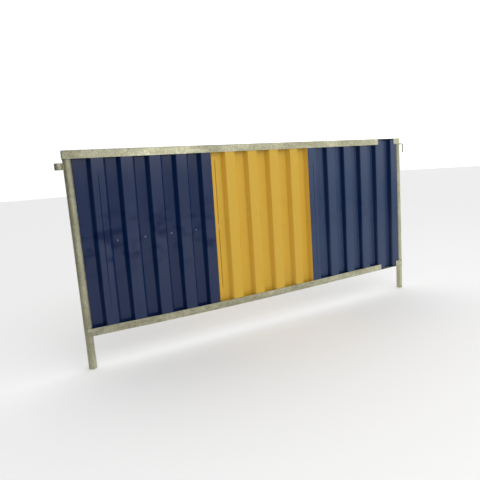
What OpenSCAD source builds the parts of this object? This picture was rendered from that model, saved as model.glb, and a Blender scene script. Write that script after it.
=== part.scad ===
// Clad site barrier: two tube posts, two folded channel rails, three lapped ribbed sheets.
// Origin: centre of the left leg's end. +X runs along the panel, -Y is the front, +Z is up.

/* [Panel] */
// Length over the outer sides of the two posts
panel_length = 2000; // [1200:5:2600]
// Height from the underside of the bottom rail to the top of the top rail
frame_height = 810; // [500:5:1200]
// Length of each leg below the bottom rail
leg_length = 150; // [60:5:300]

/* [Posts] */
// Outside diameter of the post tube
post_d = 35; // [28:0.5:50]
// Wall of the post tube
post_wall = 2; // [1.5:0.1:3.5]

/* [Rails] */
// Height of a rail's flanges
rail_height = 35; // [26:1:50]
// Sheet thickness of a rail
rail_wall = 2; // [1.5:0.1:3]
// Inside radius of a rail's two folds
fold_inner_r = 0.5; // [0.2:0.1:2]
// Fit-up clearance between a post and what is welded to it
weld_gap = 0.2; // [0.1:0.05:0.4]
// How far each end of the bottom rail stops short of a post's outer side
bottom_setback = 11; // [6:0.5:14]
// How far the top rail stops short of the hook post's outer side
top_setback = 14; // [6:0.5:18]
// Distance from the hook post's outer side to the cut in each rail's front flange
end_tab = 64.5; // [45:0.5:80]
// Length of front flange cut away so that sheets can be put in
notch_length = 134; // [60:1:220]

/* [Sheets] */
// Thickness of a coated sheet
sheet_t = 0.8; // [0.6:0.1:1.2]
// Distance from rib to rib
rib_pitch = 128.6; // [105:0.1:155]
// Width of a rib's flat crest
crest_w = 55; // [30:0.5:60]
// Sideways run of each sloping web
web_run = 12; // [8:0.5:18]
// Depth from a rib's crest to the valley
rib_depth = 26; // [15:0.5:27]
// Distance from the left post to the first crest
first_crest = 77; // [40:1:120]
// Ribs from one lap to the next
ribs_per_sheet = 5; // [3:1:7]
// Clearance between the left post and the edge of the sheet beside it
sheet_left_gap = 0.3; // [0.2:0.1:3]
// Clearance between the right post and the edge of the sheet beside it
sheet_right_gap = 3; // [2:0.5:8]
// Clearance between the inside of a rail's front fold and the crests
sheet_front_gap = 0.2; // [0.1:0.1:1.5]
// Clearance between the sheets and the top rail's web
sheet_top_gap = 3; // [2:0.5:10]
// How far a lapped edge stays back from the corner of its crest
lap_setback = 1.2; // [1:0.1:3]

/* [Mid rail] */
// Height of the flat bar behind the sheets
mid_bar_h = 30; // [20:1:50]
// Thickness of the flat bar behind the sheets
mid_bar_t = 4; // [3:0.5:5]

/* [Hook and sleeve] */
// Diameter of the hook's round bar
hook_d = 9; // [6:0.5:12]
// Distance from the post's outer side to the hook's upright axis
hook_reach = 35; // [26:1:50]
// Depth of the hook's arm below the top of the top rail
hook_below_top = 34; // [20:1:120]
// Drop from the arm's axis to the hook's tip
hook_drop = 55; // [40:1:80]
// Radius of the hook's bend, on the bar's axis
hook_bend = 8; // [6:0.5:14]
// Outside diameter of the sleeve that takes a hook
sleeve_d = 33.7; // [24:0.1:42]
// Bore of the sleeve
sleeve_bore = 27.3; // [18:0.1:34]
// Length of the sleeve
sleeve_length = 28; // [20:1:50]
// Depth of the sleeve's middle below the top of the top rail
sleeve_below_top = 65; // [30:1:160]

/* [Weld beads] */
// Radius of the beads that join rails and posts
bead_r = 2.6; // [2.2:0.1:3.5]
// Length of a bead along a rail's flange
bead_length = 14; // [8:1:18]
// Radius of the beads beside the sleeve
sleeve_bead_r = 4; // [3.5:0.1:5]
// How far the bead round the hook's root stands out from the bar
hook_bead = 3.5; // [2:0.5:5]

/* [Hidden] */
$fn = 64;
// How far a cut runs past what it cuts
past = 1;
post_r = post_d / 2;
post_span = panel_length - post_d;
post_length = leg_length + frame_height - rail_wall - weld_gap;
rail_depth = post_d + 2 * (weld_gap + rail_wall);
rail_front = -rail_depth / 2;
fold_outer_r = fold_inner_r + rail_wall;
bottom_z = leg_length;
top_z = leg_length + frame_height;
bottom_rail_length = panel_length - 2 * bottom_setback;
top_rail_length = panel_length - top_setback;
// Sheets: the blue ones lap over the yellow one, which lies one thickness further back
sheet_front = rail_front + fold_outer_r + sheet_front_gap;
sheet_bottom = bottom_z + rail_wall;
sheet_height = frame_height - 2 * rail_wall - sheet_top_gap;
// The left sheet ends in a valley, so it runs up to the tube's side at that depth
valley_front = sheet_front + rib_depth;
sheets_left = sqrt(post_r ^ 2 - max(valley_front, 0) ^ 2) + sheet_left_gap;
sheets_right = post_span - post_r - sheet_right_gap;
crest_0 = post_r + first_crest;
rib_count = ceil((sheets_right - crest_0) / rib_pitch) + 1;
first_lap = crest_0 + (ribs_per_sheet - 1) * rib_pitch;
second_lap = first_lap + ribs_per_sheet * rib_pitch;
// A bend of half this angle moves the back of the sheet in by this much
bend = atan2(rib_depth, web_run);
back_shift = sheet_t * tan(bend / 2);
mid_bar_front = sheet_front + rib_depth + 2 * sheet_t;
mid_bar_z = bottom_z + frame_height / 2;
hook_r = hook_d / 2;
hook_arm_z = top_z - hook_below_top;
hook_axis_x = post_span + post_r + hook_reach;
hook_straight = hook_drop - hook_bend;
sleeve_r = sleeve_d / 2;
sleeve_x = -(post_r + weld_gap + sleeve_r);
sleeve_bottom = top_z - sleeve_below_top - sleeve_length / 2;
// Height in plan at which the sleeve's beads sit, clear of the point where the two tubes meet
sleeve_bead_y = 1.5 * sleeve_bead_r;
steel = "silver";
blue = "#27386b";
yellow = "#dca821";

// A whole post tube, standing on z = 0, grown outwards by a clearance
module post_bar(x, grow = 0) {
    translate([x, 0, -past]) cylinder(r = post_r + grow, h = top_z + 2 * past);
}

// A post: one tube that is also the leg
module post(x) {
    color(steel)
    translate([x, 0, 0])
    difference() {
        cylinder(r = post_r, h = post_length);
        translate([0, 0, -past]) cylinder(r = post_r - post_wall, h = post_length + 2 * past);
    }
}

module left_post() {
    post(0);
}

module right_post() {
    post(post_span);
}

// A block with its two lower long edges rounded, seen along the rail, web at the bottom
module folded_block(w, h, r) {
    union() {
        translate([-w / 2, r]) square([w, h - r]);
        translate([-w / 2 + r, 0]) square([w - 2 * r, r]);
        for (side = [-1, 1]) translate([side * (w / 2 - r), r]) circle(r = r);
    }
}

// Cross-section of a rail that opens upwards
module rail_section() {
    difference() {
        folded_block(rail_depth, rail_height, fold_outer_r);
        translate([0, rail_wall])
        folded_block(rail_depth - 2 * rail_wall, rail_height, fold_inner_r);
    }
}

// A rail that opens upwards, with its front flange cut away near the hook end
module open_rail(x_start, length) {
    notch_start = panel_length - post_r - end_tab - notch_length;
    difference() {
        translate([x_start, 0, 0])
        rotate([90, 0, 90])
        linear_extrude(height = length) rail_section();
        translate([notch_start, rail_front - past, rail_wall])
        cube([notch_length, fold_outer_r + past, rail_height]);
    }
}

module bottom_rail() {
    color(steel)
    difference() {
        translate([0, 0, bottom_z]) open_rail(-post_r + bottom_setback, bottom_rail_length);
        post_bar(0, weld_gap);
        post_bar(post_span, weld_gap);
    }
}

module top_rail() {
    color(steel)
    translate([0, 0, top_z])
    mirror([0, 0, 1]) open_rail(-post_r, top_rail_length);
}

// Flat bar behind the valleys, coped to the posts
module mid_rail() {
    color(steel)
    difference() {
        translate([0, mid_bar_front, mid_bar_z - mid_bar_h / 2]) cube([post_span, mid_bar_t, mid_bar_h]);
        post_bar(0, weld_gap);
        post_bar(post_span, weld_gap);
    }
}

// The four corners of one rib: x and y, on the front face or, moved in by s, on the back face
function rib(k, s, y) = [
    [crest_0 + k * rib_pitch - web_run + s, rib_depth + y],
    [crest_0 + k * rib_pitch + s, y],
    [crest_0 + k * rib_pitch + crest_w - s, y],
    [crest_0 + k * rib_pitch + crest_w + web_run - s, rib_depth + y]
];

// One face of the ribbed strip, from the left, with a flat run before the first rib
function face_line(s, y) = concat(
    [[crest_0 - rib_pitch, rib_depth + y]],
    [for (k = [0 : rib_count]) each rib(k, s, y)]
);

function reversed(list) = [for (i = [len(list) - 1 : -1 : 0]) list[i]];

// A ribbed sheet between two places along the panel, set back by a number of thicknesses
module ribbed_sheet(x_from, x_to, layers_back) {
    translate([0, sheet_front + layers_back * sheet_t, sheet_bottom])
    linear_extrude(height = sheet_height)
    intersection() {
        polygon(concat(face_line(0, 0), reversed(face_line(back_shift, sheet_t))));
        translate([x_from, -past]) square([x_to - x_from, rib_depth + sheet_t + 2 * past]);
    }
}

module left_sheet() {
    color(blue) ribbed_sheet(sheets_left, first_lap + crest_w - lap_setback, 0);
}

module middle_sheet() {
    color(yellow) ribbed_sheet(first_lap + lap_setback, second_lap + crest_w - lap_setback, 1);
}

module right_sheet() {
    color(blue) ribbed_sheet(second_lap + lap_setback, sheets_right, 0);
}

// Short upright tube that takes the next panel's hook
module hook_sleeve() {
    color(steel)
    translate([sleeve_x, 0, sleeve_bottom])
    difference() {
        cylinder(r = sleeve_r, h = sleeve_length);
        translate([0, 0, -past]) cylinder(d = sleeve_bore, h = sleeve_length + 2 * past);
    }
}

// The two beads that close the hollows between the sleeve and the post
module sleeve_weld() {
    color(steel)
    for (side = [-1, 1])
    difference() {
        translate([-post_r, side * sleeve_bead_y, sleeve_bottom]) cylinder(r = sleeve_bead_r, h = sleeve_length);
        post_bar(0);
        translate([sleeve_x, 0, sleeve_bottom - past]) cylinder(r = sleeve_r, h = sleeve_length + 2 * past);
    }
}

// Bar along +X from the post's axis to the start of the bend
module hook_arm(r) {
    translate([post_span, 0, hook_arm_z])
    rotate([0, 90, 0])
    cylinder(r = r, h = post_r + hook_reach - hook_bend);
}

// Round bar that leaves the post, bends down and drops into a sleeve
module hook_rod() {
    color(steel)
    difference() {
        union() {
            hook_arm(hook_r);
            translate([hook_axis_x - hook_bend, 0, hook_arm_z - hook_bend])
            rotate([90, 0, 0])
            rotate_extrude(angle = 90) translate([hook_bend, 0]) circle(r = hook_r);
            translate([hook_axis_x, 0, hook_arm_z - hook_drop]) cylinder(r = hook_r, h = hook_straight);
        }
        post_bar(post_span, weld_gap);
    }
}

// Bead round the root of the hook
module hook_weld() {
    color(steel)
    difference() {
        translate([post_span, 0, hook_arm_z])
        rotate([0, 90, 0])
        cylinder(r = hook_r + hook_bead, h = post_r + weld_gap + hook_bead / 2);
        post_bar(post_span);
        hook_arm(hook_r);
    }
}

// Front and back beads along the edge of a rail's flanges, at one post
module corner_weld(x, edge_z, into_panel) {
    color(steel)
    for (side = [-1, 1])
    difference() {
        translate([x - bead_length / 2, side * (post_r + weld_gap), edge_z + into_panel * bead_r / 3])
        rotate([0, 90, 0])
        cylinder(r = bead_r, h = bead_length);
        post_bar(x);
        translate([x - bead_length, -rail_depth, into_panel > 0 ? edge_z - rail_height : edge_z])
        cube([2 * bead_length, 2 * rail_depth, rail_height]);
    }
}

module top_left_weld() {
    corner_weld(0, top_z - rail_height, -1);
}

module top_right_weld() {
    corner_weld(post_span, top_z - rail_height, -1);
}

module bottom_left_weld() {
    corner_weld(0, bottom_z + rail_height, 1);
}

module bottom_right_weld() {
    corner_weld(post_span, bottom_z + rail_height, 1);
}

left_post();
right_post();
top_rail();
bottom_rail();
mid_rail();
left_sheet();
middle_sheet();
right_sheet();
hook_sleeve();
hook_rod();
sleeve_weld();
hook_weld();
top_left_weld();
top_right_weld();
bottom_left_weld();
bottom_right_weld();
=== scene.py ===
import math

import bpy
import numpy as np
from mathutils import Matrix, Vector


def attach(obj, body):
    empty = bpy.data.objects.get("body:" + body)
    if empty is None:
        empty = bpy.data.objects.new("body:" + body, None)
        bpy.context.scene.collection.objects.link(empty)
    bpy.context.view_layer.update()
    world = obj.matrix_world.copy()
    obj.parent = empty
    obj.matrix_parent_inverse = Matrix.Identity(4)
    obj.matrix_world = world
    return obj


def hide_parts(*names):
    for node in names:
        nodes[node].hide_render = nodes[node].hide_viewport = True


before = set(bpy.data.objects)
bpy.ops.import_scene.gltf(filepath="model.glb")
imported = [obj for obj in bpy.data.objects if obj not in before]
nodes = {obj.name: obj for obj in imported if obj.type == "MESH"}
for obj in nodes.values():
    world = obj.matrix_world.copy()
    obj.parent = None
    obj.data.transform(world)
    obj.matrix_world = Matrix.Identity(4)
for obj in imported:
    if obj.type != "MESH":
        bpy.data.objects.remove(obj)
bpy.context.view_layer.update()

MM = 0.001
SHARP_DEGREES = 40

# ---------------------------------------------------------------- sizes, in millimetres
SHEET_LOW, SHEET_HIGH = 152.0, 955.0
SHEET_T = 0.8
CREST_0, PITCH = 94.5, 128.6
CREST_W, WEB_RUN, RIB_DEPTH = 55.0, 12.0, 26.0
BLUE_FRONT, YELLOW_FRONT = -17.0, -16.2
BEND_HALF = 3.0
SHEET_LEFT = 15.3
# Each sheet's two edges; both blue sheets lap over the yellow one
LEFT_SHEET, MIDDLE_SHEET, RIGHT_SHEET = (SHEET_LEFT, 662.7), (610.1, 1305.7), (1253.1, 1944.5)
# How far the ribs stand to the side of their even places, at places along the panel: SHIFT over the whole
# height, BOW at mid-height only, and LEAN for each millimetre above the middle
SHIFT_X = (80.0, 223.0, 351.0, 480.0, 609.0, 663.0, 737.0, 866.0, 995.0, 1123.0, 1253.0, 1300.0, 1380.0, 1509.0,
           1638.0, 1766.0, 1895.0, 1944.0)
SHIFT = (-7.0, -7.6, -6.6, -5.9, -5.6, -7.4, -3.5, -1.0, 0.5, 4.8, -4.0, -3.0, 5.6, 2.0, 0.4, -1.0, -2.5, -0.5)
BOW_X, BOW = (80.0, 550.0, 663.0), (-3.2, -2.4, 0.0)
LEAN_X, LEAN = (663.0, 800.0, 1180.0, 1320.0), (0.0154, 0.010, 0.007, 0.001)
# All three grow from nothing to their full size over this distance from the left sheet's edge
WARP_RISE = 60.0
# Depth of the sheets' slow waves, and how many are laid over each other
WAVE_DEPTH, WAVES = 0.10, 6
RAIL_LOW, RAIL_H, RAIL_HALF, RAIL_WALL, RAIL_FOLD = 150.0, 35.0, 19.7, 2.0, 2.5
RAIL_LEFT, RAIL_RIGHT = -6.5, 1971.5
NOTCH = (1784.0, 1918.0)
RAIL_SAG = 10.0
# The groove's depth and half-width, and the half-width of the painted shade laid in it
GROOVE_DEPTH, GROOVE_HALF, GROOVE_SHADE_HALF = 1.8, 1.5, 1.9
POST_R, POST_WALL, POST_TOP = 17.5, 2.0, 957.8
RIGHT_X = 1965.0
POST_RIM = 0.4
SLEEVE_X, SLEEVE_LOW, SLEEVE_HEIGHT, SLEEVE_R, SLEEVE_BORE, SLEEVE_RIM = -34.55, 881, 28, 16.84, 13.65, 0.8
HOOK_START, HOOK_ARM_Z, HOOK_X, HOOK_BEND, HOOK_LOW, HOOK_R = 1981.5, 926, 2017.5, 8, 871, 4.5
HOOK_BEAD_X, HOOK_BEAD_INNER, HOOK_BEAD_OUTER, HOOK_BEAD_LENGTH, HOOK_BEAD_RIPPLES = 1980.0, 4.4, 8.0, 4.4, 14
CORNER_BEAD_R, CORNER_BEAD_HALF, CORNER_BEAD_Y, TOP_BEAD_Z, BOTTOM_BEAD_Z = 2.6, 7, 17.6, 924.1, 185.9
SLEEVE_BEAD_R, SLEEVE_BEAD_X, SLEEVE_BEAD_Y = 4.0, -17.5, 6
BAR_BACK = 14.6
# The rivets' height, and how far they sit from the middle of an evenly spaced valley: they do not follow the
# ribs' sideways shift
RIVET_Z, RIVET_OFF = 556.0, -11.5
# How many valleys there are, and the number, from nought at the left, of the one that has no rivet
VALLEYS, BARE_VALLEY = 14, 4


# ---------------------------------------------------------------- meshes from arrays
def grid_faces(rows, cols, wrap_cols=False):
    """Quads of a grid of rows x cols points; the last column joins the first where it wraps."""
    r = np.arange(rows - 1)[:, None]
    c = np.arange(cols if wrap_cols else cols - 1)[None, :]
    d = (c + 1) % cols
    quads = np.stack([r * cols + c, r * cols + d, (r + 1) * cols + d, (r + 1) * cols + c], axis=-1)
    return quads.reshape(-1, 4)


def add_mesh(name, points, quads, material, slot, replaced=()):
    """A mesh object at the origin from points in millimetres and an array of quads."""
    points = np.asarray(points, dtype=np.float64).reshape(-1, 3) * MM
    mesh = bpy.data.meshes.new(name)
    mesh.from_pydata(points.tolist(), [], quads.tolist() if hasattr(quads, "tolist") else quads)
    mesh.validate()
    mesh.polygons.foreach_set("use_smooth", np.full(len(mesh.polygons), True))
    mesh.set_sharp_from_angle(angle=math.radians(SHARP_DEGREES))
    mesh.update()
    piece = bpy.data.objects.new(name, mesh)
    bpy.context.scene.collection.objects.link(piece)
    piece.data.materials.append(material)
    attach(piece, "root")
    if replaced:
        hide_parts(*replaced)
    return piece


def join_grids(parts):
    """Stacks several (points, quads) pairs into one pair, shifting the quads' numbers."""
    sizes = np.cumsum([0] + [len(p) for p, _ in parts[:-1]])
    points = np.concatenate([p for p, _ in parts])
    quads = np.concatenate([q + s for (_, q), s in zip(parts, sizes)])
    return points, quads


def lathe(radii, heights, segments, closed=False):
    """Profile (radius, height) turned about Z: x = r cos a, y = r sin a, z = h. A closed profile joins its
    end to its start."""
    a = np.linspace(0, 2 * np.pi, segments, endpoint=False)
    r = np.asarray(radii, float)[:, None]
    h = np.asarray(heights, float)[:, None] + 0 * a
    points = np.stack([r * np.cos(a), r * np.sin(a), h], axis=-1).reshape(-1, 3)
    quads = grid_faces(len(radii), segments, wrap_cols=True)
    if closed:
        n = len(radii)
        last = np.arange(segments) + (n - 1) * segments
        first = np.arange(segments)
        seam = np.stack([last, np.roll(last, -1), np.roll(first, -1), first], axis=-1)
        quads = np.concatenate([quads, seam])
    return points, quads


def tube(radius, bore, low, high, edge, segments=72):
    """Upright tube: the loop outer wall, rounded rim, inner wall, rounded rim, turned about Z. Each rim is a
    quarter circle of radius edge on both sides."""
    t = np.linspace(0, np.pi / 2, 4)
    up = np.linspace(low + edge, high - edge, 40)
    radii = np.concatenate([np.full(len(up), radius), radius - edge + edge * np.cos(t[1:]),
                            bore + edge - edge * np.sin(t), np.full(len(up), bore)[1:],
                            bore + edge - edge * np.cos(t[1:]), radius - edge + edge * np.sin(t)[:-1]])
    heights = np.concatenate([up, high - edge + edge * np.sin(t[1:]),
                              high - edge + edge * np.cos(t), up[::-1][1:],
                              low + edge - edge * np.sin(t[1:]), low + edge - edge * np.cos(t)[:-1]])
    return lathe(radii, heights, segments, closed=True)


# ---------------------------------------------------------------- materials
def linear(hex_colour):
    """sRGB hex to linear RGBA."""
    c = np.array([int(hex_colour[i:i + 2], 16) for i in (1, 3, 5)]) / 255
    c = np.where(c <= 0.04045, c / 12.92, ((c + 0.055) / 1.055) ** 2.4)
    return (*c.tolist(), 1.0)


def add(tree, kind, settings=None, **sockets):
    """Adds a node, sets its properties from settings, and sets or links each named socket."""
    node = tree.nodes.new(kind)
    for key, value in (settings or {}).items():
        setattr(node, key, value)
    for key, value in sockets.items():
        key = int(key[1:]) if key[0] == "i" and key[1:].isdigit() else key.replace("_", " ")
        socket = node.inputs[key]
        if isinstance(value, bpy.types.NodeSocket):
            tree.links.new(value, socket)
        else:
            socket.default_value = value
    return node


SMOOTH = {"interpolation_type": "SMOOTHSTEP"}


def maths(tree, operation, *values):
    """The result of one Math node."""
    return add(tree, "ShaderNodeMath", {"operation": operation},
               **{f"i{place}": value for place, value in enumerate(values)}).outputs[0]


def ranged(tree, value, low, high, to_low, to_high, settings=None):
    """The value carried from low..high to to_low..to_high and held at both ends."""
    return add(tree, "ShaderNodeMapRange", settings, Value=value, From_Min=low, From_Max=high,
               To_Min=to_low, To_Max=to_high).outputs["Result"]


def blend(tree, amount, first, second):
    """The first colour mixed with the second by amount."""
    return add(tree, "ShaderNodeMix", {"data_type": "RGBA"}, i0=amount, i6=first, i7=second).outputs[2]


def times(tree, base, factor, amount=1.0):
    """The base colour multiplied by factor, in the given amount."""
    return add(tree, "ShaderNodeMix", {"data_type": "RGBA", "blend_type": "MULTIPLY"},
               i0=amount, i6=base, i7=factor).outputs[2]


def ramp(tree, fac, stops):
    """Colour ramp with (position, colour) stops, fed by fac."""
    node = add(tree, "ShaderNodeValToRGB", Fac=fac)
    elements = node.color_ramp.elements
    while len(elements) < len(stops):
        elements.new(0.5)
    for element, (position, colour) in zip(elements, stops):
        element.position = position
        element.color = colour
    return node.outputs["Color"]


def material(name):
    """A new node material and its tree, output and object coordinates."""
    mat = bpy.data.materials.new(name)
    mat.use_nodes = True
    tree = mat.node_tree
    tree.nodes.clear()
    out = add(tree, "ShaderNodeOutputMaterial")
    coords = add(tree, "ShaderNodeTexCoord").outputs["Object"]
    return mat, tree, out, coords


def per_mm(size):
    """Texture scale, per metre, of a pattern with that size in millimetres."""
    return 1000.0 / size


def grey(v):
    return (v, v, v, 1.0)


def galvanised(name, stretch, light, mid, dark, mottle=0.14, tones=(0.90, 1.02), bead=False):
    """Hot-dip galvanised steel, dipped after welding: a dull pale zinc skin with a slight yellow cast,
    crystal spangle, cloudy run marks along the member and grey handling scuffs. It is darker towards the
    sleeve end and brighter towards the other, has a painted highlight in the middle of the top rail, and a
    painted shade along the top rail's upper fold. The tones are its brightness at the foot and at the top,
    a painted shade and light that change with height."""
    mat, t, out, co = material(name)
    along = add(t, "ShaderNodeMapping", Vector=co, Scale=stretch).outputs["Vector"]
    cloud = add(t, "ShaderNodeTexNoise", Vector=along, Scale=per_mm(55), Detail=5.0, Roughness=0.62)
    spangle = add(t, "ShaderNodeTexVoronoi", Vector=co, Scale=per_mm(7), Randomness=1.0)
    fine = add(t, "ShaderNodeTexNoise", Vector=co, Scale=per_mm(4), Detail=4.0, Roughness=0.6)
    scuff = add(t, "ShaderNodeTexNoise", Vector=along, Scale=per_mm(16), Detail=6.0, Roughness=0.7)
    place = add(t, "ShaderNodeSeparateXYZ", Vector=co).outputs

    base = ramp(t, cloud.outputs["Fac"], [(0.3, linear(dark)), (0.5, linear(mid)), (0.68, linear(light))])
    cell = add(t, "ShaderNodeSeparateColor", Color=spangle.outputs["Color"]).outputs["Red"]
    cell = ranged(t, cell, 0.0, 1.0, 1 - mottle, 1 + mottle)
    speck = ramp(t, fine.outputs["Fac"], [(0.36, grey(0.74)), (0.52, grey(1.0)), (0.70, grey(1.16))])
    mark = ramp(t, scuff.outputs["Fac"], [(0.30, grey(0.62)), (0.40, grey(1.0))])
    # Darker towards the left end and brighter towards the right
    end_to_end_tone = ranged(t, place["X"], 0.0, 1.9, 0.86, 1.24)
    # Painted highlight: the top rail is painted brighter about its middle
    top_rail_highlight = maths(t, "ABSOLUTE", maths(t, "SUBTRACT", place["X"], 0.42))
    top_rail_highlight = ranged(t, top_rail_highlight, 0.04, 0.26, 1.45, 1.0, SMOOTH)
    high = maths(t, "GREATER_THAN", place["Z"], 0.91)
    top_rail_highlight = add(t, "ShaderNodeMix", {"data_type": "FLOAT"}, i0=high, i2=1.0, i3=top_rail_highlight).outputs[0]
    # Painted shade and light by height: the tones darken the foot and lighten the top of the channels, as light
    # from above would, and darken the top of the tubes
    painted_shade = ranged(t, place["Z"], 0.0, 0.96, *tones)
    # Painted shade: a dark line along the top rail's upper fold
    fold = ranged(t, place["Z"], 0.9568, 0.9592, 1.0, 0.30)
    for factor, amount in ((cell, 1.0), (speck, 1.0), (mark, 0.8), (end_to_end_tone, 1.0), (top_rail_highlight, 1.0), (painted_shade, 1.0),
                           (fold, 1.0)):
        base = times(t, base, factor, amount)

    rough = ranged(t, cell, 1 - mottle, 1 + mottle, 0.52, 0.66)
    lumps = maths(t, "ADD", fine.outputs["Fac"], scuff.outputs["Fac"])
    bump = add(t, "ShaderNodeBump", Height=lumps, Strength=0.5 if bead else 0.35,
               Distance=0.0006 if bead else 0.0003)
    shader = add(t, "ShaderNodeBsdfPrincipled", Base_Color=base, Metallic=0.75, Roughness=rough,
                 Normal=bump.outputs["Normal"])
    t.links.new(shader.outputs["BSDF"], out.inputs["Surface"])
    return mat


# Painted shade in the pressed grooves: the attribute that holds it, and its dark colour
GROOVE_SHADE_ATTRIBUTE = "painted_groove_shade"
GROOVE_SHADE_COLOUR = "#1c1a14"
WEB_MIDDLE = BLUE_FRONT + RIB_DEPTH / 2


def coil_coated(name, colour, worn_and_reflected, dust, gloss, dust_amount, rub_and_reflection_amount, groove_shade_amount, shine, flat_shading_colour,
                flat_shading_amount):
    """Coil-coated steel sheet, a baked polyester paint on zinc: smooth and glossy with faint orange peel,
    dark patches at mid-height where it is riveted, which are rubbed wear and a painted dark reflection, and
    a film of dust. The pressed grooves are painted dark, a painted shade; the valleys shine less than the
    crests, a painted shade in the recesses; and the flats take another tone than the sloping webs, painted
    light and shade for the way each faces the light. The pairs are the roughness range and the shine of
    crest and valley."""
    mat, t, out, co = material(name)
    peel = add(t, "ShaderNodeTexNoise", Vector=co, Scale=per_mm(3.5), Detail=2.0)
    tall = add(t, "ShaderNodeMapping", Vector=co, Scale=(1.0, 1.0, 0.22)).outputs["Vector"]
    cloud = add(t, "ShaderNodeTexNoise", Vector=tall, Scale=per_mm(85), Detail=4.0, Roughness=0.55)
    streak_map = add(t, "ShaderNodeMapping", Vector=co, Scale=(1.0, 1.0, 0.03)).outputs["Vector"]
    streak = add(t, "ShaderNodeTexNoise", Vector=streak_map, Scale=per_mm(9), Detail=3.0)
    place = add(t, "ShaderNodeSeparateXYZ", Vector=co).outputs
    # Painted shade: the valleys shine less than the crests, as the recesses are shaded
    shine = ranged(t, place["Y"], BLUE_FRONT * MM, (BLUE_FRONT + RIB_DEPTH) * MM, *shine)
    # Painted light and shade: the flats take another colour than the sloping webs, for the way each faces the
    # light
    flat = maths(t, "ABSOLUTE", maths(t, "SUBTRACT", place["Y"], WEB_MIDDLE * MM))
    flat = ranged(t, flat, 0.006, 0.012, 0.0, flat_shading_amount, SMOOTH)
    # Painted shade: the pressed grooves are darkened
    painted_shade = add(t, "ShaderNodeAttribute", {"attribute_name": GROOVE_SHADE_ATTRIBUTE}).outputs["Fac"]
    painted_shade = maths(t, "MULTIPLY", painted_shade, groove_shade_amount)
    # Rubbed wear and a painted dark reflection: darker, less shiny patches about the rivets' height
    band = maths(t, "ABSOLUTE", maths(t, "SUBTRACT", place["Z"], RIVET_Z * MM))
    band = ranged(t, band, 0.03, 0.20, 1.0, 0.0, SMOOTH)
    wide = add(t, "ShaderNodeMapping", Vector=co, Scale=(1.0, 1.0, 1.8)).outputs["Vector"]
    rub_and_reflection = add(t, "ShaderNodeTexNoise", Vector=wide, Scale=per_mm(85), Detail=1.0)
    rub_and_reflection = ramp(t, rub_and_reflection.outputs["Fac"], [(0.48, grey(0.0)), (0.68, grey(rub_and_reflection_amount))])
    rub_and_reflection = maths(t, "MULTIPLY", rub_and_reflection, band)
    dulled = maths(t, "ADD", maths(t, "MULTIPLY", rub_and_reflection, -0.6), 1.0)
    shine = maths(t, "MULTIPLY", shine, dulled)
    base = blend(t, flat, linear(colour), linear(flat_shading_colour))
    base = blend(t, rub_and_reflection, base, linear(worn_and_reflected))
    film = ramp(t, cloud.outputs["Fac"], [(0.40, grey(0.0)), (0.75, grey(dust_amount))])
    lines = ramp(t, streak.outputs["Fac"], [(0.45, grey(0.6)), (0.65, grey(1.0))])
    film = maths(t, "MULTIPLY", film, lines)
    base = blend(t, film, base, linear(dust))
    base = blend(t, painted_shade, base, linear(GROOVE_SHADE_COLOUR))
    rough = ranged(t, cloud.outputs["Fac"], 0.3, 0.7, *gloss)
    bump = add(t, "ShaderNodeBump", Height=peel.outputs["Fac"], Strength=0.12, Distance=0.00015)
    shader = add(t, "ShaderNodeBsdfPrincipled", Base_Color=base, Roughness=rough,
                 IOR=1.5, Specular_IOR_Level=shine, Normal=bump.outputs["Normal"])
    t.links.new(shader.outputs["BSDF"], out.inputs["Surface"])
    return mat


CHANNEL_MOTTLE = 0.24
UPRIGHT, LENGTHWISE, ALL_WAYS = (1.0, 1.0, 0.35), (0.35, 1.0, 1.0), (1.0, 1.0, 1.0)
# The tubes are painted darker at the top than at the foot, a painted shade
zinc_tube = galvanised("galvanised_tube_skin", UPRIGHT, "#c2c0a7", "#b0ae94", "#9c9a81",
                       tones=(1.04, 0.84))
zinc_channel = galvanised("galvanised_channel_skin", LENGTHWISE, "#c2c0a7", "#b0ae94", "#9c9a81",
                          CHANNEL_MOTTLE)
zinc_bead = galvanised("galvanised_weld_bead", ALL_WAYS, "#c6c4ab", "#a7a58c", "#7f7d66", bead=True)
blue_paint = coil_coated("blue_polyester_coat", "#0c2249", "#04183f", "#3a4252", (0.10, 0.22), 0.12, 0.9, 0.22,
                         (0.43, 0.31), "#0c2249", 0.0)
# A lit copy of the blue paint for the right sheet: painted light, with lighter flats and more shine
lit_blue_paint = coil_coated("lit_blue_polyester_coat", "#0c2249", "#04183f", "#3a4252", (0.12, 0.24), 0.15,
                               0.2, 0.22, (0.50, 0.38), "#34527b", 0.28)
# The yellow's flats are painted a darker tone than its webs, a painted shade
yellow_paint = coil_coated("yellow_polyester_coat", "#d9ad45", "#c69a28", "#cbab4c", (0.28, 0.40), 0.3,
                           0.15, 0.6, (0.44, 0.36), "#cda32c", 1.0)
rivet_paint = coil_coated("blue_painted_rivet_head", "#5d6d8c", "#3f5074", "#7b8496", (0.25, 0.35), 0.3,
                          0.6, 0.0, (0.5, 0.5), "#5d6d8c", 0.0)
rivet_metal = galvanised("aluminium_rivet_tail", ALL_WAYS, "#d6d8d8", "#c0c3c4", "#9a9d9f")

for node_name in ("top_rail", "bottom_rail", "mid_rail"):
    nodes[node_name].data.materials.clear()
    nodes[node_name].data.materials.append(zinc_channel)


# ---------------------------------------------------------------- ribbed sheets
def folded(x):
    """Distance behind the crest plane at place x along the panel: nought on a crest, the rib's depth in a
    valley and a straight slope on the webs. It is the mean over a short window, which rounds each bend."""
    window = np.linspace(-BEND_HALF, BEND_HALF, 13)
    x = x[:, None] + window
    rib = np.maximum(np.round((x - CREST_0 - CREST_W / 2) / PITCH), 0)
    off_centre = np.abs(x - CREST_0 - CREST_W / 2 - rib * PITCH)
    return (np.clip((off_centre - CREST_W / 2) / WEB_RUN, 0, 1) * RIB_DEPTH).mean(axis=1)


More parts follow.
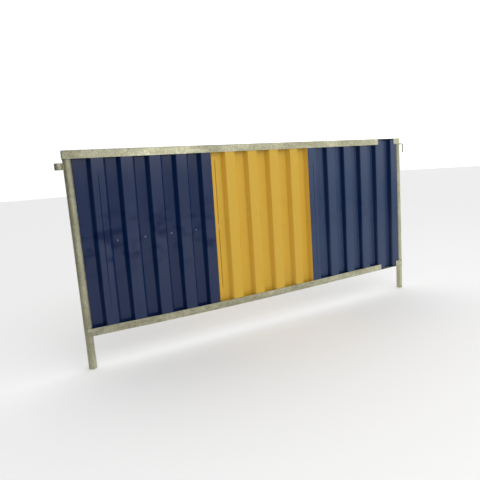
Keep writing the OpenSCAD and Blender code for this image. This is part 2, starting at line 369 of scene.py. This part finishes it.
def sheet_columns(x_from, x_to, grooves):
    """Places along the panel: 8 mm apart, 0.8 mm apart round the bends and 0.5 mm apart across a groove."""
    x = [np.arange(x_from, x_to, 8.0), [x_to]]
    for rib in range(16):
        for edge in (-WEB_RUN, 0.0, CREST_W, CREST_W + WEB_RUN):
            x.append(CREST_0 + rib * PITCH + edge + np.linspace(-3.6, 3.6, 10))
    for groove_x, _, _ in grooves:
        x.append(np.arange(groove_x - 5, groove_x + 5, 0.5))
    x = np.unique(np.round(np.concatenate(x), 2))
    x = x[(x >= x_from) & (x <= x_to)]
    keep = np.concatenate([[True], np.diff(x) > 0.3])
    keep[-1] = True
    return x[keep]


def ribbed_sheet(x_from, x_to, front, grooves):
    """Sheet surface y(x, z) = front + folded profile + a pressed groove + slow waves a fraction of a
    millimetre deep. A groove runs along the ribs and fades at both ends. The ribs move sideways: x gains
    shift(x), plus lean(x) times the height over the middle, plus a half-sine bow, and less so close to the
    left post. The third result is the painted shade in the grooves, a bell curve across each one."""
    x = sheet_columns(x_from, x_to, grooves)
    z = np.linspace(SHEET_LOW, SHEET_HIGH, 91)
    grid_x, grid_z = np.meshgrid(x, z)
    y = front + np.broadcast_to(folded(x), grid_x.shape).copy()
    groove_shade = np.zeros_like(y)
    for groove_x, low_z, high_z in grooves:
        t = (grid_z - low_z) / (high_z - low_z)
        fade = np.clip(t * 30, 0, 1) * np.clip((1 - t) * 30, 0, 1)
        y += GROOVE_DEPTH * np.exp(-((grid_x - groove_x) / GROOVE_HALF) ** 2) * fade
        # Painted shade in the groove, a bell curve across it
        groove_shade += np.exp(-((grid_x - groove_x) / GROOVE_SHADE_HALF) ** 2) * fade
    rng = np.random.default_rng(3)
    for _ in range(WAVES):
        wave_x, wave_z = rng.uniform(260, 700), rng.uniform(220, 600)
        turn_x, turn_z = rng.uniform(0, 2 * np.pi, 2)
        y += (WAVE_DEPTH * np.sin(2 * np.pi * grid_x / wave_x + turn_x)
              * np.sin(2 * np.pi * grid_z / wave_z + turn_z))
    free = np.clip((grid_x - SHEET_LEFT) / WARP_RISE, 0, 1)
    lean, shift = np.interp(grid_x, LEAN_X, LEAN), np.interp(grid_x, SHIFT_X, SHIFT)
    bow = np.interp(grid_x, BOW_X, BOW) * np.sin(np.pi * (grid_z - SHEET_LOW) / (SHEET_HIGH - SHEET_LOW))
    leant = grid_x + free * (shift + bow + lean * (grid_z - (SHEET_LOW + SHEET_HIGH) / 2))
    points = np.stack([leant, y, grid_z], axis=-1).reshape(-1, 3)
    return points, grid_faces(len(z), len(x)), groove_shade.ravel()


def add_sheet(name, span, front, grooves, paint, slot, node):
    """Ribbed sheet with its thickness behind its front face."""
    points, quads, groove_shade = ribbed_sheet(*span, front, grooves)
    piece = add_mesh(name, points, quads, paint, slot, [node])
    piece.data.attributes.new(GROOVE_SHADE_ATTRIBUTE, "FLOAT", "POINT").data.foreach_set("value", groove_shade)
    wall = piece.modifiers.new("wall", "SOLIDIFY")
    wall.thickness = SHEET_T * MM
    wall.offset = -1.0
    return piece


BLUE, YELLOW = "blue_coated_sheet", "yellow_coated_sheet"
# Each groove's place along the panel and the heights of its two ends
LEFT_GROOVE, MIDDLE_GROOVE, RIGHT_GROOVE = (122, 234, 867), (692.4, 230, 895), (1286, 227, 863)
add_sheet("left_ribbed_sheet", LEFT_SHEET, BLUE_FRONT, [LEFT_GROOVE], blue_paint, BLUE, "left_sheet")
add_sheet("middle_ribbed_sheet", MIDDLE_SHEET, YELLOW_FRONT, [MIDDLE_GROOVE, RIGHT_GROOVE], yellow_paint,
          YELLOW, "middle_sheet")
add_sheet("right_ribbed_sheet", RIGHT_SHEET, BLUE_FRONT, [RIGHT_GROOVE], lit_blue_paint, BLUE, "right_sheet")


# ---------------------------------------------------------------- posts, sleeve and hook
def moved(grid, x, y, z):
    points, quads = grid
    return points + np.array([x, y, z], float), quads


post = tube(POST_R, POST_R - POST_WALL, 0, POST_TOP, POST_RIM)
add_mesh("left_post_tube", *post, zinc_tube, "galvanised_tube", ["left_post"])
add_mesh("right_post_tube", *moved(post, RIGHT_X, 0, 0), zinc_tube, "galvanised_tube", ["right_post"])
sleeve = tube(SLEEVE_R, SLEEVE_BORE, 0, SLEEVE_HEIGHT, SLEEVE_RIM)
add_mesh("hook_sleeve_tube", *moved(sleeve, SLEEVE_X, 0, SLEEVE_LOW), zinc_tube, "galvanised_tube",
         ["hook_sleeve"])


def bent_rod(start, arm_z, axis_x, bend_r, low_z, rod_r):
    """Round bar carried along an arm, a quarter turn and a drop, all in the plane y = 0: each ring is
    centre + r (cos a * in-plane normal + sin a * Y), and the rings shrink to a point at the rounded tip."""
    arm = np.linspace(start, axis_x - bend_r, 8)
    turn = np.linspace(0, np.pi / 2, 14)[1:]
    drop = np.linspace(arm_z - bend_r, low_z + rod_r, 10)[1:]
    tip = np.linspace(0, np.pi / 2, 7)[1:]
    cx = np.concatenate([arm, axis_x - bend_r + bend_r * np.sin(turn), np.full(len(drop) + len(tip), axis_x)])
    cz = np.concatenate([np.full(len(arm), arm_z), arm_z - bend_r + bend_r * np.cos(turn), drop,
                         low_z + rod_r - rod_r * np.sin(tip)])
    heading = np.concatenate([np.zeros(len(arm)), turn, np.full(len(drop) + len(tip), np.pi / 2)])
    radius = np.concatenate([np.full(len(arm) + len(turn) + len(drop), rod_r), rod_r * np.cos(tip)])
    radius = np.maximum(radius, 0.02)
    a = np.linspace(0, 2 * np.pi, 28, endpoint=False)
    side = radius[:, None] * np.cos(a)
    x = cx[:, None] + side * np.sin(heading)[:, None]
    z = cz[:, None] + side * np.cos(heading)[:, None]
    y = radius[:, None] * np.sin(a)
    points = np.stack([x, y, z], axis=-1).reshape(-1, 3)
    return points, grid_faces(len(cx), len(a), wrap_cols=True)


hook = bent_rod(HOOK_START, HOOK_ARM_Z, HOOK_X, HOOK_BEND, HOOK_LOW, HOOK_R)
add_mesh("hook_bar", *hook, zinc_tube, "galvanised_tube", ["hook_rod"])


# ---------------------------------------------------------------- bottom rail
def channel_loop(front_height):
    """Outline (y, z) of the rail's section, opening upwards: up the back flange, over its edge, down inside
    round the fold, along the web, and up and over the front flange, which stops at front_height."""
    out_y, in_y, top = RAIL_HALF, RAIL_HALF - RAIL_WALL, RAIL_H
    t = np.linspace(0, np.pi / 2, 5)
    fold, inner = RAIL_FOLD, RAIL_FOLD - RAIL_WALL
    y = [out_y - fold + fold * np.sin(t), [out_y, out_y, out_y - 0.4, in_y + 0.4, in_y],
         in_y - inner + inner * np.cos(t), -in_y + inner - inner * np.sin(t),
         [-in_y, -in_y - 0.4, -out_y + 0.4, -out_y], -out_y + fold - fold * np.cos(t)]
    z = [fold - fold * np.cos(t), [top / 2, top - 0.4, top, top, top - 0.4],
         RAIL_WALL + inner - inner * np.sin(t), RAIL_WALL + inner - inner * np.cos(t),
         [front_height - 0.4, front_height, front_height, front_height - 0.4], fold - fold * np.sin(t)]
    return np.concatenate(y), np.concatenate(z)


def sag(x):
    """How far the bottom rail has bent down at x: nought at both posts and most a little left of the middle."""
    t = np.clip(x / RIGHT_X, 0, 1)
    return RAIL_SAG * np.sin(np.pi * t ** 0.75) ** 1.5


def rail_run(x_from, x_to, front_height):
    """The section carried along X and lowered by the sag, with a fan of quads closing each end."""
    y, z = channel_loop(front_height)
    x = np.linspace(x_from, x_to, max(int((x_to - x_from) / 15), 2))
    grid_x = x[:, None] + 0 * y
    points = np.stack([grid_x, y + 0 * grid_x, RAIL_LOW + z - sag(x)[:, None]], axis=-1).reshape(-1, 3)
    return points, len(x), len(y)


def add_bottom_rail():
    """Three runs of the channel end to end; the middle one has no front flange above the fold."""
    points, faces, start = [], [], 0
    for x_from, x_to, front_height in ((RAIL_LEFT, NOTCH[0], RAIL_H), (*NOTCH, RAIL_FOLD),
                                       (NOTCH[1], RAIL_RIGHT, RAIL_H)):
        grid, rows, cols = rail_run(x_from, x_to, front_height)
        faces += (grid_faces(rows, cols, wrap_cols=True) + start).tolist()
        faces.append(list(range(start, start + cols))[::-1])
        faces.append(list(range(start + (rows - 1) * cols, start + rows * cols)))
        points.append(grid)
        start += len(grid)
    return np.concatenate(points), faces


add_mesh("bottom_channel", *add_bottom_rail(), zinc_channel, "galvanised_channel", ["bottom_rail"])


# ---------------------------------------------------------------- weld beads
def bead(start, end, radius, pitch=1.9):
    """Weld bead: a tube from start to end whose radius is a half-ellipse along its length times a ripple of
    the given pitch, so its ends are round and closed."""
    start, end = np.array(start, float), np.array(end, float)
    length = np.linalg.norm(end - start)
    t = np.linspace(0, 1, max(int(length / 0.45), 12))
    a = np.linspace(0, 2 * np.pi, 20, endpoint=False)
    shape = np.clip(1 - np.abs(2 * t - 1) ** 6, 0.0001, 1) ** 0.5
    ripple = 1 - 0.10 * np.abs(np.sin(np.pi * t * length / pitch))
    r = (radius * shape * ripple)[:, None]
    axis = (end - start) / length
    side = np.cross(axis, [0.0, 1.0, 0.0])
    side /= np.linalg.norm(side)
    up = np.cross(axis, side)
    centre = start + t[:, None] * (end - start)
    ring = np.cos(a)[None, :, None] * side + np.sin(a)[None, :, None] * up
    points = centre[:, None, :] + r[..., None] * ring
    return points.reshape(-1, 3), grid_faces(len(t), len(a), wrap_cols=True)


CORNERS = {"top_left_weld": (0, TOP_BEAD_Z), "top_right_weld": (RIGHT_X, TOP_BEAD_Z),
           "bottom_left_weld": (0, BOTTOM_BEAD_Z), "bottom_right_weld": (RIGHT_X, BOTTOM_BEAD_Z)}
for weld_node, (weld_x, weld_z) in CORNERS.items():
    beads = [bead((weld_x - CORNER_BEAD_HALF, side * CORNER_BEAD_Y, weld_z),
                  (weld_x + CORNER_BEAD_HALF, side * CORNER_BEAD_Y, weld_z), CORNER_BEAD_R) for side in (-1, 1)]
    add_mesh(weld_node + "_bead", *join_grids(beads), zinc_bead, "weld", [weld_node])
beads = [bead((SLEEVE_BEAD_X, side * SLEEVE_BEAD_Y, SLEEVE_LOW),
              (SLEEVE_BEAD_X, side * SLEEVE_BEAD_Y, SLEEVE_LOW + SLEEVE_HEIGHT), SLEEVE_BEAD_R)
         for side in (-1, 1)]
add_mesh("sleeve_weld_bead", *join_grids(beads), zinc_bead, "weld", ["sleeve_weld"])


def collar(x, inner, outer, length, ripples):
    """Fillet bead round a bar along X: radius falls from outer to inner along a quarter circle, and the
    outer edge waves in and out a set number of times round."""
    t = np.linspace(0, 1, 10)
    a = np.linspace(0, 2 * np.pi, 64, endpoint=False)
    fall = inner + (outer - inner) * np.sqrt(np.clip(1 - t ** 2, 0, 1))
    r = fall[:, None] - 0.25 * np.abs(np.sin(ripples * a / 2)) * (1 - t)[:, None]
    points = np.stack([x + t[:, None] * length + 0 * a, r * np.cos(a), r * np.sin(a)], axis=-1)
    return points.reshape(-1, 3), grid_faces(len(t), len(a), wrap_cols=True)


hook_bead = collar(HOOK_BEAD_X, HOOK_BEAD_INNER, HOOK_BEAD_OUTER, HOOK_BEAD_LENGTH, HOOK_BEAD_RIPPLES)
add_mesh("hook_weld_bead", *moved(hook_bead, 0, 0, HOOK_ARM_Z), zinc_bead, "weld", ["hook_weld"])


# ---------------------------------------------------------------- rivets
def rivet(x, y, z):
    """Dome rivet head facing -Y: a lathe profile of a flat rim, a round dome and the small pit that the
    broken mandrel leaves, turned about Z and then tipped to face the front."""
    radii = [0.02, 0.9, 1.25, 1.6, 2.6, 3.4, 3.9, 4.0, 4.0]
    rise = [0.75, 0.75, 1.25, 1.35, 1.15, 0.75, 0.35, 0.1, -0.3]
    points, quads = lathe(radii[::-1], rise[::-1], 24)
    turned = np.stack([points[:, 0], -points[:, 2], points[:, 1]], axis=-1)
    return turned + np.array([x, y, z]), quads


def rivet_tail(x, y, z):
    """The bulb a blind rivet makes behind the bar: a lathe profile like half an onion, tipped to face the
    back."""
    radii = [0.02, 1.3, 2.2, 2.9, 3.2, 3.1, 2.7, 2.2]
    rise = [3.3, 3.2, 2.9, 2.3, 1.6, 0.9, 0.3, -0.3]
    points, quads = lathe(radii[::-1], rise[::-1], 24)
    turned = np.stack([-points[:, 0], points[:, 2], points[:, 1]], axis=-1)
    return turned + np.array([x, y, z]), quads


def valley_x(rib):
    """Where the rivet of an evenly spaced valley sits along the panel."""
    return CREST_0 + rib * PITCH + CREST_W + (PITCH - CREST_W) / 2 + RIVET_OFF


for rivet_name, ribs, front, head_paint, head_slot in (
        ("left_rivets", (0, 1, 2, 3), BLUE_FRONT, rivet_paint, BLUE),
        ("middle_rivets", (5, 6, 7, 8), YELLOW_FRONT, yellow_paint, YELLOW),
        ("right_rivets", (9, 10, 11, 12, 13), BLUE_FRONT, lit_blue_paint, BLUE)):
    heads = [rivet(valley_x(k), front + RIB_DEPTH, RIVET_Z) for k in ribs]
    add_mesh(rivet_name, *join_grids(heads), head_paint, head_slot)
tails = [rivet_tail(valley_x(k), BAR_BACK, RIVET_Z) for k in range(VALLEYS) if k != BARE_VALLEY]
add_mesh("rivet_tails", *join_grids(tails), rivet_metal, "galvanised_channel")


# ---------------------------------------------------------------- floor, light and camera
floor_mat, tree, out, _ = material("pale_studio_floor")
shader = add(tree, "ShaderNodeBsdfPrincipled", Base_Color=grey(0.93), Roughness=0.9)
tree.links.new(shader.outputs["BSDF"], out.inputs["Surface"])
floor_mesh = bpy.data.meshes.new("studio_floor")
FLOOR_LEFT, FLOOR_FAR = -1.3, 40
floor_mesh.from_pydata([(FLOOR_LEFT, -FLOOR_FAR, 0), (FLOOR_FAR, -FLOOR_FAR, 0), (FLOOR_FAR, FLOOR_FAR, 0),
                        (FLOOR_LEFT, FLOOR_FAR, 0)], [], [(0, 1, 2, 3)])
floor = bpy.data.objects.new("studio_floor", floor_mesh)
bpy.context.scene.collection.objects.link(floor)
floor_mesh.materials.append(floor_mat)

world = bpy.data.worlds.new("studio_surround")
world.use_nodes = True
bpy.context.scene.world = world
tree = world.node_tree
tree.nodes.clear()
out = add(tree, "ShaderNodeOutputWorld")
way = add(tree, "ShaderNodeTexCoord").outputs["Generated"]
parts = add(tree, "ShaderNodeSeparateXYZ", Vector=way).outputs
# The surround is nearly black to the far left, pale ahead, and brighter to the right and behind
front = ranged(tree, parts["X"], -0.95, -0.2, 0.02, 0.78, SMOOTH)
right = ranged(tree, parts["X"], 0.25, 0.75, 0.0, 0.6, SMOOTH)
behind = ranged(tree, parts["Y"], -0.05, 0.5, 0.0, 0.3, SMOOTH)
shade = maths(tree, "ADD", maths(tree, "ADD", front, right), behind)
glow = add(tree, "ShaderNodeBackground", Color=grey(1.0), Strength=shade)
tree.links.new(glow.outputs["Background"], out.inputs["Surface"])


def softbox(name, place, aim, width, height, power):
    """A large soft area light at place, turned to aim."""
    data = bpy.data.lights.new(name, "AREA")
    data.shape = "RECTANGLE"
    data.size, data.size_y, data.energy = width, height, power
    lamp = bpy.data.objects.new(name, data)
    bpy.context.scene.collection.objects.link(lamp)
    lamp.location = place
    lamp.rotation_euler = (Vector(aim) - Vector(place)).to_track_quat("-Z", "Y").to_euler()


softbox("front_softbox", (0.6, -4.2, 2.6), (1.0, 0, 0.5), 5.0, 3.4, 60)

# The camera's focal length in millimetres, its place in metres and its three axes
FOCAL_LENGTH = 32.929
PLACE = (-0.27853, -1.98202, 0.80776)
RIGHT = (0.87142008, -0.48501781, -0.07338103)
UP = (0.13500431, 0.09331493, 0.98644116)
BACK = (-0.47159398, -0.86951139, 0.146796)
camera_data = bpy.data.cameras.new("camera")
camera_data.sensor_width = 36.0
camera_data.lens = FOCAL_LENGTH
camera = bpy.data.objects.new("camera", camera_data)
bpy.context.scene.collection.objects.link(camera)
turn = Matrix((RIGHT, UP, BACK)).transposed().to_4x4()
camera.matrix_world = Matrix.Translation(PLACE) @ turn
bpy.context.scene.camera = camera
bpy.context.scene.view_settings.view_transform = "Standard"
